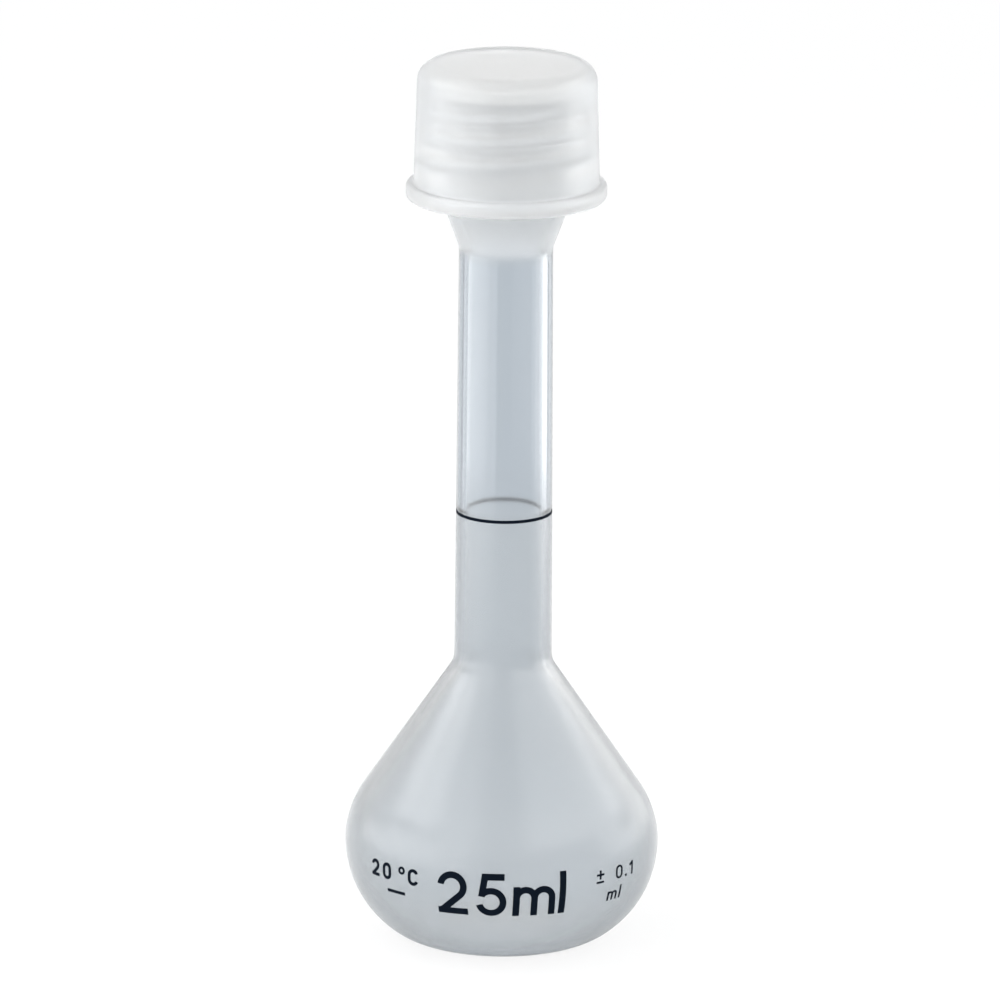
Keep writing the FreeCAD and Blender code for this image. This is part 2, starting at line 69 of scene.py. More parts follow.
BULB_RADIUS = flask_high.x / MM
RIM = flask_high.z / MM
CAP_FOOT = cap_low.z / MM
CAP_TOP = cap_high.z / MM
ROOF = liner_high.z / MM
FLANGE_RADIUS = cap_high.x / MM
RING_TOP = ring_high.z / MM
print("rim %.1f mm, cap %.1f to %.1f mm, ring %.1f mm" % (RIM, CAP_FOOT, CAP_TOP, RING_TOP))

# %% Drawing sizes of the bulb, the neck and the flare, in millimetres and degrees
EQUATOR = 12.4
HEEL_ARC = 7.6
BELLY_ARC = 13.5
SHOULDER_ARC = 12.2
CONE_ANGLE = 34.3
FOOT_INNER = 7.95
PUNT_RISE = 1.0
WALL = 1.18
NECK_RADIUS = 5.9
NECK_DRAFT = 0.27
SHOULDER_FILLET = 3.0
FLARE_HEIGHT = 90.3
FLARE_ANGLE = 20.2
FLARE_FILLET = 2.0
print("bulb %.1f mm across, neck %.1f mm" % (2 * BULB_RADIUS, 2 * NECK_RADIUS))

# %% Drawing sizes of the threaded finish and the cap, in millimetres
CROWN_ROUND = 1.5
FINISH_RADIUS = 8.0
FINISH_WALL = 1.4
RIM_ROUND = 0.35
THREAD_PITCH = 3.0
THREAD_LENGTH = 8.7
THREAD_DEPTH = 0.9
THREAD_CREST = 0.7
THREAD_ROOT = 1.7
THREAD_CLEARANCE = 0.3
THREAD_BELOW_RIM = 1.3
THREAD_TOP = RIM - THREAD_BELOW_RIM
THREAD_START = THREAD_TOP - THREAD_LENGTH
CAP_THREAD_START = THREAD_START - THREAD_PITCH / 2
CAP_EDGE = 2.3
SKIRT_TOP = 11.3
SKIRT_FOOT = 11.75
FLANGE_HEIGHT = 2.1
FLANGE_ROUND = 0.62
FLANGE_INNER_ROUND = 0.3
MOUTH_LEAD = 0.5
MOUTH_ROUND = 0.12
ROOF_ROUND = 0.2
print("thread from %.1f to %.1f mm" % (THREAD_START, THREAD_TOP))

# %% [markdown]
# ## Drawing a section
#
# A turned piece needs only half of its section: a line from the axis, round the outside and back
# to the axis. It could be drawn as a curve by hand, but points worked out from the drawing sizes
# follow the solid exactly. Straight runs are cut into short steps so that smooth shading stays
# even, and each corner gets the small round that a mould leaves.

# %% Helpers: steps, arcs and doubles
def stepped(run, step):
    """The same run with long straight stretches divided into steps."""
    fine = [run[0]]
    for a, b in zip(run, run[1:]):
        count = max(1, int(math.dist(a, b) / step))
        shares = [i / count for i in range(1, count + 1)]
        fine += [(a[0] + (b[0] - a[0]) * t, a[1] + (b[1] - a[1]) * t) for t in shares]
    return fine


def arc_points(centre, radius, start, stop, step=0.35):
    """Points along an arc, in degrees, from start to stop."""
    count = max(6, int(abs(math.radians(stop - start)) * radius / step) + 1)
    turned = [math.radians(start + (stop - start) * i / count) for i in range(count + 1)]
    return [(centre[0] + radius * math.cos(a), centre[1] + radius * math.sin(a)) for a in turned]


def without_doubles(points):
    """The same points, each at least a tenth of a micrometre from the one before."""
    kept = [points[0]]
    for p in points[1:]:
        if math.dist(p, kept[-1]) > 1e-4:
            kept.append(p)
    return kept


print("a quarter round of 2 mm takes", len(arc_points((0, 0), 2, 0, 90)), "points")

# %% Helpers: a run with rounded corners, and a finer wall for a thread
def rounded_run(corners, step=0.9):
    """A run through corners (radius, height, round), with rounds at the inner corners."""
    run = [corners[0][:2]]
    for before, spot, after in zip(corners, corners[1:], corners[2:]):
        p = Vector(spot[:2])
        into = (p - Vector(before[:2])).normalized()
        out = (Vector(after[:2]) - p).normalized()
        turn = math.atan2(into.x * out.y - into.y * out.x, into.dot(out))
        reach = spot[2] * math.tan(abs(turn) / 2)
        first = p - into * reach
        centre = first + Vector((-into.y, into.x)) * math.copysign(spot[2], turn)
        spoke = first - centre
        count = max(4, int(abs(math.degrees(turn)) / 9))
        for i in range(count + 1):
            a = turn * i / count
            x = spoke.x * math.cos(a) - spoke.y * math.sin(a)
            y = spoke.x * math.sin(a) + spoke.y * math.cos(a)
            run.append((centre.x + x, centre.y + y))
    run.append(corners[-1][:2])
    return stepped(run, step)


def finer_wall(section, radius, step=0.11):
    """The section with its upright wall at this radius cut fine enough to grow a thread."""
    fine = []
    for a, b in zip(section, section[1:]):
        fine.append(a)
        if abs(a[0] - radius) < 1e-6 and abs(b[0] - radius) < 1e-6:
            fine += stepped([a, b], step)[1:-1]
    return fine + [section[-1]]


corner = [(0, 0, 0), (5, 0, 1), (5, 5, 0)]
print("a rounded corner takes", len(rounded_run(corner)), "points")

# %% The bulb's side: hollow foot, heel, belly and shoulder
def bulb_side(inset):
    """The bulb's side, set in by inset, up to where the cone starts."""
    heel, belly, shoulder = HEEL_ARC - inset, BELLY_ARC - inset, SHOULDER_ARC - inset
    belly_x = BULB_RADIUS - BELLY_ARC
    rise = EQUATOR - HEEL_ARC
    reach = math.sqrt((BELLY_ARC - HEEL_ARC) ** 2 - rise**2)
    lean = -math.degrees(math.atan2(rise, reach))
    punt_radius = (FOOT_INNER**2 + PUNT_RISE**2) / (2 * PUNT_RISE)
    edge = math.degrees(math.atan2(punt_radius - PUNT_RISE, FOOT_INNER))
    side = arc_points((0, PUNT_RISE + inset - punt_radius), punt_radius, 90, edge)
    side += stepped([(FOOT_INNER, inset), (belly_x + reach, inset)], 0.5)
    side += arc_points((belly_x + reach, HEEL_ARC), heel, -90, lean)
    side += arc_points((belly_x, EQUATOR), belly, lean, 0)
    side += arc_points((BULB_RADIUS - SHOULDER_ARC, EQUATOR), shoulder, 0, CONE_ANGLE)
    return without_doubles(side)


outer_bulb = bulb_side(0)
inner_bulb = bulb_side(WALL)
print("bulb side:", len(outer_bulb), "points outside,", len(inner_bulb), "inside")

# %% The cone, neck, flare and finish, and the whole section of the flask
def neck_corners(inset, finish, cone_start):
    """Corners of the cone, neck, flare and finish above the bulb."""
    steep = math.tan(math.radians(CONE_ANGLE))
    gentle = math.tan(math.radians(NECK_DRAFT))
    open_out = math.tan(math.radians(FLARE_ANGLE))
    neck = NECK_RADIUS - inset
    cone_line = cone_start[0] + steep * cone_start[1]
    meet = (cone_line - neck - gentle * FLARE_HEIGHT) / (steep - gentle)
    return [
        (*cone_start, 0),
        (neck + gentle * (FLARE_HEIGHT - meet), meet, SHOULDER_FILLET + inset),
        (neck, FLARE_HEIGHT, FLARE_FILLET + inset),
        (finish, FLARE_HEIGHT + (finish - neck) / open_out, CROWN_ROUND),
    ]


bore = FINISH_RADIUS - FINISH_WALL
outer_neck = neck_corners(0, FINISH_RADIUS, outer_bulb[-1])
inner_neck = neck_corners(WALL, bore, inner_bulb[-1])
rim_corners = [(FINISH_RADIUS, RIM, RIM_ROUND), (bore, RIM, RIM_ROUND)]
upper = rounded_run(outer_neck + rim_corners + inner_neck[::-1])
flask_section = without_doubles(outer_bulb + upper + inner_bulb[::-1])
flask_section = finer_wall(flask_section, FINISH_RADIUS)
print("flask section:", len(flask_section), "points")

# %% [markdown]
# ## Turning a section into a moulding
#
# A lathe shape follows a rule, so Geometry Nodes make it: a grid of points is wrapped round the
# axis, each row taking its radius and height from the section. The same tree raises the screw
# thread, because a thread is a rule too: at every angle the ridge sits one pitch further up per
# turn, and it fades in and out at its two ends as a moulded thread does. A Screw modifier could
# turn the section as well, but it couldn't grow the thread out of the same wall. Each table below
# lists the tree's sums by name, and one loop adds them.

# %% Tree: its named inputs
def add(tree, kind, settings=None, **inputs):
    """Add a node, set its properties and its inputs: a socket is linked, a value is set."""
    made = tree.nodes.new(kind)
    for key, value in (settings or {}).items():
        setattr(made, key, value)
    for key, value in inputs.items():
        numbered = key[0] == "_"
        socket = made.inputs[int(key[1:]) if numbered else key.replace("_", " ")]
        if isinstance(value, bpy.types.NodeSocket):
            tree.links.new(value, socket)
        else:
            socket.default_value = value
    return made


turning = bpy.data.node_groups.new("turned moulding", "GeometryNodeTree")
sockets = {}
for name, kind, value in [
    ("Section", "NodeSocketObject", None),
    ("Section Points", "NodeSocketInt", 2),
    ("Steps Round", "NodeSocketInt", 32),
    ("Thread Height", "NodeSocketFloat", 0.0),
    ("Thread Start", "NodeSocketFloat", 0.0),
    ("Thread Pitch", "NodeSocketFloat", 0.003),
    ("Thread Turns", "NodeSocketFloat", 1.0),
    ("Crest Width", "NodeSocketFloat", 0.0007),
    ("Root Width", "NodeSocketFloat", 0.0017),
    ("Seam Height", "NodeSocketFloat", 0.0),
    ("Finish", "NodeSocketMaterial", None),
]:
    made = turning.interface.new_socket(name, in_out="INPUT", socket_type=kind)
    if value is not None:
        made.default_value = value
    sockets[name] = made.identifier
turning.interface.new_socket("Geometry", in_out="OUTPUT", socket_type="NodeSocketGeometry")
print("turning tree:", len(sockets), "inputs")

# %% Tree: which row of the section and which angle each point of the grid belongs to
given = add(turning, "NodeGroupInput").outputs
wires = {name: given[name] for name in sockets}
wires["index"] = add(turning, "GeometryNodeInputIndex").outputs[0]
for name, operation, *terms in [
    ("columns", "ADD", "Steps Round", 1.0),
    ("mid index", "ADD", "index", 0.5),
    ("columns passed", "DIVIDE", "mid index", "Section Points"),
    ("column", "FLOOR", "columns passed"),
    ("points passed", "MULTIPLY", "column", "Section Points"),
    ("row", "SUBTRACT", "index", "points passed"),
    ("turn share", "DIVIDE", "column", "Steps Round"),
    ("angle", "MULTIPLY", "turn share", math.tau),
    ("cosine", "COSINE", "angle"),
    ("sine", "SINE", "angle"),
]:
    inputs = {"_%d" % i: wires.get(term, term) for i, term in enumerate(terms)}
    wires[name] = add(turning, "ShaderNodeMath", {"operation": operation}, **inputs).outputs[0]
sheet = add(
    turning, "GeometryNodeMeshGrid",
    Vertices_X=wires["columns"], Vertices_Y=wires["Section Points"],
).outputs["Mesh"]
print("turning tree:", len(turning.nodes), "nodes")

# %% Tree: read each row's radius, height and marks from the section
section_mesh = add(turning, "GeometryNodeObjectInfo", _0=wires["Section"]).outputs["Geometry"]
spot = add(
    turning, "GeometryNodeSampleIndex", {"data_type": "FLOAT_VECTOR", "domain": "POINT"},
    Geometry=section_mesh, Index=wires["row"],
    Value=add(turning, "GeometryNodeInputPosition").outputs[0],
).outputs[0]
wires["radius"], _, wires["height"] = add(turning, "ShaderNodeSeparateXYZ", _0=spot).outputs
for mark in ("threaded", "seamed"):
    flag = add(turning, "GeometryNodeInputNamedAttribute", {"data_type": "FLOAT"}, Name=mark)
    wires[mark] = add(
        turning, "GeometryNodeSampleIndex", {"data_type": "FLOAT", "domain": "POINT"},
        Geometry=section_mesh, Index=wires["row"], Value=flag.outputs[0],
    ).outputs[0]
print("turning tree:", len(turning.nodes), "nodes")

# %% Tree: how far each point lies from the thread's line, and from the line's two ends
FADE_OUT, FADE_IN = -0.02, 0.1
for name, operation, *terms in [
    ("above start", "SUBTRACT", "height", "Thread Start"),
    ("pitches up", "DIVIDE", "above start", "Thread Pitch"),
    ("offset", "SUBTRACT", "pitches up", "turn share"),
    ("turn number", "ROUND", "offset"),
    ("along", "ADD", "turn share", "turn number"),
    ("off line", "SUBTRACT", "offset", "turn number"),
    ("off line size", "ABSOLUTE", "off line"),
    ("away", "MULTIPLY", "off line size", "Thread Pitch"),
    ("nearness", "MULTIPLY", "away", -2.0),
    ("root edge", "MULTIPLY", "Root Width", -1.0),
    ("crest edge", "MULTIPLY", "Crest Width", -1.0),
    ("backwards", "MULTIPLY", "along", -1.0),
    ("last fade", "SUBTRACT", FADE_OUT, "Thread Turns"),
    ("last full", "SUBTRACT", FADE_IN, "Thread Turns"),
]:
    inputs = {"_%d" % i: wires.get(term, term) for i, term in enumerate(terms)}
    wires[name] = add(turning, "ShaderNodeMath", {"operation": operation}, **inputs).outputs[0]
for name, value, low, high in [
    ("flank", "nearness", "root edge", "crest edge"),
    ("begins", "along", FADE_OUT, FADE_IN),
    ("ends", "backwards", "last fade", "last full"),
]:
    wires[name] = add(
        turning, "ShaderNodeMapRange", {"interpolation_type": "SMOOTHSTEP"},
        Value=wires[value], From_Min=wires.get(low, low), From_Max=wires.get(high, high),
    ).outputs[0]
print("turning tree:", len(turning.nodes), "nodes")

# %% Tree: raise the thread's ridge and the mould's parting line, two of them half a turn apart
SEAM_REACH = 0.0005
for name, operation, *terms in [
    ("ridge shape", "MULTIPLY", "flank", "threaded"),
    ("ridge ends", "MULTIPLY", "begins", "ends"),
    ("ridge", "MULTIPLY", "ridge shape", "ridge ends"),
    ("half turns", "MULTIPLY", "turn share", 2.0),
    ("nearest half", "ROUND", "half turns"),
    ("off half", "SUBTRACT", "half turns", "nearest half"),
    ("off seam", "ABSOLUTE", "off half"),
    ("on seam", "LESS_THAN", "off seam", SEAM_REACH),
    ("seam", "MULTIPLY", "on seam", "seamed"),
    ("ridge rise", "MULTIPLY", "ridge", "Thread Height"),
    ("seam rise", "MULTIPLY", "seam", "Seam Height"),
    ("rise", "ADD", "ridge rise", "seam rise"),
    ("wide", "ADD", "radius", "rise"),
    ("x", "MULTIPLY", "wide", "cosine"),
    ("y", "MULTIPLY", "wide", "sine"),
]:
    inputs = {"_%d" % i: wires.get(term, term) for i, term in enumerate(terms)}
    wires[name] = add(turning, "ShaderNodeMath", {"operation": operation}, **inputs).outputs[0]
place = add(turning, "ShaderNodeCombineXYZ", X=wires["x"], Y=wires["y"], Z=wires["height"])
print("turning tree:", len(turning.nodes), "nodes")

# %% Tree: move the grid there, keep the ridge as an attribute, close the seam and set the finish
SAME_PLACE = 2e-6
shape = add(turning, "GeometryNodeSetPosition", Geometry=sheet, Position=place.outputs[0])
shape = add(
    turning, "GeometryNodeStoreNamedAttribute", {"data_type": "FLOAT", "domain": "POINT"},
    Geometry=shape.outputs[0], Name="ridge", Value=wires["ridge"],
)
for kind, inputs in [
    ("GeometryNodeMergeByDistance", {"Distance": SAME_PLACE}),
    ("GeometryNodeSetShadeSmooth", {}),
    ("GeometryNodeRealizeInstances", {}),
    ("GeometryNodeSetMaterial", {"Material": wires["Finish"]}),
    ("NodeGroupOutput", {}),
]:
    shape = add(turning, kind, Geometry=shape.outputs[0], **inputs)
print("turning tree:", len(turning.nodes), "nodes")

# %% Helper: a section as an edge mesh, with the marks that the tree reads
def section_object(name, section, marks):
    """An object whose points are a section (mm); each mark is 1 where its test holds."""
    outline = bpy.data.meshes.new(name + " section")
    points = [(r * MM, 0, z * MM) for r, z in section]
    outline.from_pydata(points, [(i, i + 1) for i in range(len(points) - 1)], [])
    for mark, test in marks.items():
        values = outline.attributes.new(mark, "FLOAT", "POINT")
        values.data.foreach_set(
            "value", [1.0 if test and test(r, z) else 0.0 for r, z in section]
        )
    holder = bpy.data.objects.new(name + " section", outline)
    scene.collection.objects.link(holder)
    print("%s section: %d points" % (name, len(points)))
    return holder

# %% Helper: turn one section into a finished mesh
def turn_piece(name, section, finish, steps, thread=None, threaded=None, seam=0.0, seamed=None):
    """Turn a half section (mm) into a closed, outward-facing mesh object."""
    holder = section_object(name, section, {"threaded": threaded, "seamed": seamed})
    carrier = bpy.data.objects.new(name + " turning", bpy.data.meshes.new(name + " turning"))
    scene.collection.objects.link(carrier)
    lathe = carrier.modifiers.new("turning", "NODES")
    lathe.node_group = turning
    settings = {
        "Section": holder,
        "Section Points": len(section),
        "Steps Round": steps,
        "Seam Height": seam * MM,
        "Finish": finish,
        **(thread or {}),
    }
    for key, value in settings.items():
        lathe[sockets[key]] = value
    bpy.context.view_layer.update()
    seen = carrier.evaluated_get(bpy.context.evaluated_depsgraph_get())
    mesh = bpy.data.meshes.new_from_object(seen)
    mesh.name = name
    for spare in (carrier, holder):
        bpy.data.objects.remove(spare)
    shaped = bmesh.new()
    shaped.from_mesh(mesh)
    bmesh.ops.recalc_face_normals(shaped, faces=shaped.faces)
    loose = sum(1 for e in shaped.edges if not e.is_manifold)
    shaped.to_mesh(mesh)
    shaped.free()
    piece = bpy.data.objects.new(name, mesh)
    scene.collection.objects.link(piece)
    print("%s: %d faces, %d open edges" % (name, len(mesh.polygons), loose))
    return piece

# %% [markdown]
# ## Finishes
#
# Every finish is a Principled shader with a few nodes in front of it. Colours are written as sRGB
# hex, as a colour picker shows them, and one function turns them to the linear values that the
# shader needs.

# %% Colour and material helpers
def linear(code):
    """An sRGB hex colour as linear RGBA."""
    parts = [int(code[i : i + 2], 16) / 255 for i in (1, 3, 5)]
    return [c / 12.92 if c <= 0.04045 else ((c + 0.055) / 1.055) ** 2.4 for c in parts] + [1.0]


def new_finish(name):
    """A material with one Principled shader; returns it, its tree and the shader."""
    made = bpy.data.materials.new(name)
    made.use_nodes = True
    print("finish:", name)
    return made, made.node_tree, made.node_tree.nodes["Principled BSDF"]


SMOOTH = {"interpolation_type": "SMOOTHSTEP"}
PLASTIC_IOR = 1.49
print("middle grey is", round(linear("#808080")[0], 3))

# %% [markdown]
# ### The flask's plastic
#
# Polypropylene is a clear plastic full of tiny crystals. Cooled against a polished mould it stays
# nearly clear, as on the upper neck; elsewhere it is milky and satin. Two materials with a hard
# border between them could do it, but the real change is gradual. So one material holds both: it
# reads the height on the piece, and moves from milky to clear above the ring and back at the flare.

# %% Moulded polypropylene: where on the flask it is clear
polypropylene, tree, shader = new_finish("moulded polypropylene, milky to clear")
where = add(tree, "ShaderNodeTexCoord").outputs["Object"]
up = add(tree, "ShaderNodeSeparateXYZ", _0=where).outputs[2]
shares = {}
for name, settings, low, high in [
    ("above ring", SMOOTH, RING_TOP - 0.3, RING_TOP + 0.9),
    ("below flare", SMOOTH, FLARE_HEIGHT - 0.2, FLARE_HEIGHT - 1.9),
    ("on flare", SMOOTH, FLARE_HEIGHT - 1.0, FLARE_HEIGHT + 1.0),
    ("on finish", {}, FLARE_HEIGHT + 6, FLARE_HEIGHT + 9),
    ("best polished", {}, RING_TOP, RING_TOP + 8),
]:
    shares[name] = add(
        tree, "ShaderNodeMapRange", settings, Value=up, From_Min=low * MM, From_Max=high * MM
    ).outputs[0]
clear = add(
    tree, "ShaderNodeMath", {"operation": "MULTIPLY"},
    _0=shares["above ring"], _1=shares["below flare"],
).outputs[0]
print("clear from %.1f to %.1f mm" % (RING_TOP, FLARE_HEIGHT))

# %% Moulded polypropylene: colour, which is nearly white, with soft clouds about 6 mm across
clouds = add(
    tree, "ShaderNodeTexNoise", Vector=where, Scale=1 / (6 * MM), Detail=3.0, Roughness=0.55
).outputs[0]
colour = linear("#fdfefe")
# milky clouds, then the faint blue of the clear neck, then the greyer, thicker threaded finish
for share, shade in [
    (clouds, "#ffffff"),
    (clear, "#fdfeff"),
    (shares["on finish"], "#f1f4f6"),
]:
    colour = add(
        tree, "ShaderNodeMix", {"data_type": "RGBA"}, Factor=share, _6=colour, _7=linear(shade)
    ).outputs[2]
tree.links.new(colour, shader.inputs["Base Color"])
print("colour:", len(tree.nodes), "nodes")

# %% Moulded polypropylene: gloss and light passing through
# the mould is best polished high on the neck, so the gloss grows over the first 8 mm above the ring
polish = add(tree, "ShaderNodeMix", Factor=shares["best polished"], A=0.17, B=0.09).outputs[0]
gloss = add(tree, "ShaderNodeMix", Factor=clear, A=0.24, B=polish).outputs[0]
tree.links.new(gloss, shader.inputs["Roughness"])
# the flare is thick and cooled slowly, so it is milkier than the bulb
milky_part = add(tree, "ShaderNodeMix", Factor=shares["on flare"], A=0.97, B=0.78).outputs[0]
passing = add(tree, "ShaderNodeMix", Factor=clear, A=milky_part, B=0.98).outputs[0]
# the thread's ridges are the thickest, so they look whiter; the finish shows through the cap
# as a soft white core
ridges = add(tree, "ShaderNodeAttribute", {"attribute_name": "ridge"}).outputs["Fac"]
for share, least in [(ridges, 0.18), (shares["on finish"], 0.55)]:
    thinner = add(tree, "ShaderNodeMix", Factor=share, A=1.0, B=least).outputs[0]
    passing = add(
        tree, "ShaderNodeMath", {"operation": "MULTIPLY"}, _0=passing, _1=thinner
    ).outputs[0]
tree.links.new(passing, shader.inputs["Transmission Weight"])
# the skin of a moulding is never quite flat: waves of about 2.5 mm, a few micrometres high
waves = add(tree, "ShaderNodeTexNoise", Vector=where, Scale=1 / (2.5 * MM), Detail=2.0).outputs[0]
skin = add(tree, "ShaderNodeBump", Strength=0.05, Distance=0.05 * MM, Height=waves).outputs[0]
tree.links.new(skin, shader.inputs["Normal"])
shader.inputs["IOR"].default_value = PLASTIC_IOR
print(polypropylene.name, "has", len(tree.nodes), "nodes")

# %% [markdown]
# ### The cap's plastic
#
# The cap is the same plastic, moulded thicker, so it is milky all over: the eye sees the threaded
# mouth through it only as a soft core with faint lines. Subsurface scattering could give the
# milkiness, but a rough transmission mixed with a little white gives a similar look with fewer
# settings, and the thread still shows.

# %% Moulded polypropylene of the cap: milky, with a satin skin
cap_plastic, tree, shader = new_finish("moulded polypropylene, milky cap")
where = add(tree, "ShaderNodeTexCoord").outputs["Object"]
clouds = add(tree, "ShaderNodeTexNoise", Vector=where, Scale=1 / (5 * MM), Detail=3.0).outputs[0]
milky = add(
    tree, "ShaderNodeMix", {"data_type": "RGBA"},
    Factor=clouds, _6=linear("#fdfefe"), _7=linear("#ffffff"),
)
tree.links.new(milky.outputs[2], shader.inputs["Base Color"])
grain = add(tree, "ShaderNodeTexNoise", Vector=where, Scale=1 / (0.4 * MM), Detail=2.0).outputs[0]
satin = add(tree, "ShaderNodeMapRange", Value=grain, To_Min=0.31, To_Max=0.36).outputs[0]
tree.links.new(satin, shader.inputs["Roughness"])
skin = add(tree, "ShaderNodeBump", Strength=0.08, Distance=0.03 * MM, Height=grain).outputs[0]
tree.links.new(skin, shader.inputs["Normal"])
shader.inputs["Transmission Weight"].default_value = 0.78
shader.inputs["IOR"].default_value = PLASTIC_IOR
print(cap_plastic.name, "has", len(tree.nodes), "nodes")

# %% [markdown]
# ### The liner's foam
#
# The seal is cut from a sheet of closed-cell foam: matt, white and finely pitted. The pits follow
# a Voronoi pattern, because foam cells crowd each other in the same way, with cells of 0.35 mm.

# %% Foam of the liner: matt white, with tiny pits
foam, tree, shader = new_finish("closed-cell polyethylene foam")
where = add(tree, "ShaderNodeTexCoord").outputs["Object"]
cells = add(tree, "ShaderNodeTexVoronoi", Vector=where, Scale=1 / (0.35 * MM)).outputs["Distance"]
shade = add(
    tree, "ShaderNodeMix", {"data_type": "RGBA"},
    Factor=cells, _6=linear("#fcfcfb"), _7=linear("#f8f8f6"),
)
tree.links.new(shade.outputs[2], shader.inputs["Base Color"])
skin = add(tree, "ShaderNodeBump", Strength=0.3, Distance=0.05 * MM, Height=cells).outputs[0]
tree.links.new(skin, shader.inputs["Normal"])
shader.inputs["Roughness"].default_value = 0.75
print(foam.name, "has", len(tree.nodes), "nodes")

# %% [markdown]
# ### The ink
#
# The ring and the prints are screen-printed: ink pressed through a fine mesh, which leaves a matt
# blue-black film that is a little uneven. Noise as fine as the mesh varies its colour and gloss.

# %% Screen-print ink: matt blue-black, a little uneven where the mesh of the screen laid it down
ink, tree, shader = new_finish("blue-black screen-print ink")
where = add(tree, "ShaderNodeTexCoord").outputs["Object"]
screen = add(tree, "ShaderNodeTexNoise", Vector=where, Scale=1 / (0.25 * MM), Detail=2.0).outputs[0]
shade = add(
    tree, "ShaderNodeMix", {"data_type": "RGBA"},
    Factor=screen, _6=linear("#030a14"), _7=linear("#08121e"),
)
tree.links.new(shade.outputs[2], shader.inputs["Base Color"])
patchy = add(tree, "ShaderNodeMapRange", Value=screen, To_Min=0.55, To_Max=0.7).outputs[0]
tree.links.new(patchy, shader.inputs["Roughness"])
skin = add(tree, "ShaderNodeBump", Strength=0.2, Distance=0.01 * MM, Height=screen).outputs[0]
tree.links.new(skin, shader.inputs["Normal"])
shader.inputs["Specular IOR Level"].default_value = 0.04
print(ink.name, "has", len(tree.nodes), "nodes")

# %% [markdown]
# ## The flask
#
# The flask is one moulding with an inside and an outside, so its section runs from the axis under
# the base, up the outside, over the rim and down the inside to the axis again. Only the straight
# outer wall of the finish may grow a thread. Two halves of a mould meet at the sides, and leave a
# parting line there that can just be felt.

# %% What may grow a thread or a parting line: the outside, up to the highest point, the rim
STRAIGHT_FOOT = RIM - 13.0
STRAIGHT_TOP = RIM - RIM_ROUND - 0.02
SEAM_FOOT = 1.5
SEAM_HEIGHT = 0.04
rim_index = max(range(len(flask_section)), key=lambda i: flask_section[i][1])
outside_points = set(flask_section[:rim_index])
screw = {
    "Thread Start": THREAD_START * MM,
    "Thread Pitch": THREAD_PITCH * MM,
    "Thread Turns": THREAD_LENGTH / THREAD_PITCH,
    "Thread Height": THREAD_DEPTH * MM,
    "Crest Width": THREAD_CREST * MM,
    "Root Width": THREAD_ROOT * MM,
}
print("outside: %d points, %.1f turns" % (len(outside_points), screw["Thread Turns"]))

# %% Turn the flask
flask = turn_piece(
    "flask_shell",
    flask_section,
    polypropylene,
    steps=192,
    thread=screw,
    threaded=lambda r, z: abs(r - FINISH_RADIUS) < 1e-4 and STRAIGHT_FOOT < z < STRAIGHT_TOP,
    seam=SEAM_HEIGHT,
    seamed=lambda r, z: (r, z) in outside_points and SEAM_FOOT < z < FLARE_HEIGHT,
)
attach(flask, "flask")
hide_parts("flask_body")

# %% [markdown]
# ## The cap
#
# The cap is turned the same way, from the middle of its roof, down the skirt, round the bead at
# its foot and up the bore. Its thread grows inwards, half a pitch away from the flask's, so the
# two ridges lie in each other's grooves.

# %% The cap's section
cap_bore = FINISH_RADIUS + THREAD_DEPTH + THREAD_CLEARANCE
flange_top = CAP_FOOT + FLANGE_HEIGHT
cap_section = rounded_run(
    [
        (0, CAP_TOP, 0),
        (SKIRT_TOP, CAP_TOP, CAP_EDGE),
        (SKIRT_FOOT, flange_top, FLANGE_INNER_ROUND),
        (FLANGE_RADIUS, flange_top, FLANGE_ROUND),
        (FLANGE_RADIUS, CAP_FOOT, FLANGE_ROUND),
        (cap_bore + MOUTH_LEAD, CAP_FOOT, MOUTH_ROUND),
        (cap_bore, CAP_FOOT + MOUTH_LEAD, MOUTH_ROUND),
        (cap_bore, ROOF, ROOF_ROUND),
        (0, ROOF, 0),
    ]
)
cap_section = without_doubles(finer_wall(cap_section, cap_bore))
cap_screw = {
    **screw,
    "Thread Start": CAP_THREAD_START * MM,
    "Thread Turns": (THREAD_TOP - CAP_THREAD_START) / THREAD_PITCH,
    "Thread Height": -THREAD_DEPTH * MM,
}
print("cap bore %.1f mm across" % (2 * cap_bore))

# %% Turn the cap; its thread may grow on the bore, below the flask's rim
BORE_TOP = RIM - 0.2
cap = turn_piece(
    "cap_shell",
    cap_section,
    cap_plastic,
    steps=240,
    thread=cap_screw,
    threaded=lambda r, z: abs(r - cap_bore) < 1e-4 and z < BORE_TOP,
)
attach(cap, "cap")
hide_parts("screw_cap")

# %% [markdown]
# ## The liner
#
# A loose disc of foam lies under the roof and seals on the rim. Its faces are flat and its edge is
# a little rounded. A film of air, too thin to see, keeps its faces off the plastic, because two
# faces in the same place would flicker in the render.

# %% Turn the liner
AIR = 0.04
LINER_ROUND = 0.2
liner_radius = liner_high.x / MM
liner_foot = liner_low.z / MM
liner_section = rounded_run(
    [
        (0, liner_foot + AIR, 0),
        (liner_radius, liner_foot + AIR, LINER_ROUND),
        (liner_radius, ROOF - AIR, LINER_ROUND),
        (0, ROOF - AIR, 0),
    ],
    step=0.5,
)
liner = turn_piece("liner_disc", without_doubles(liner_section), foam, steps=128)
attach(liner, "liner")
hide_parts("cap_liner")

# %% [markdown]
# ## Ink on the flask
#
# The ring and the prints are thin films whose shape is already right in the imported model, so they
# stay as they are and only get their finish.

# %% Ink the ring and the prints
films = ("graduation_ring", "capacity_print", "temperature_print", "tolerance_print")
for name in films:
    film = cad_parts[name].data
    film.materials.clear()
    film.materials.append(ink)
print("inked:", len(films), "films")

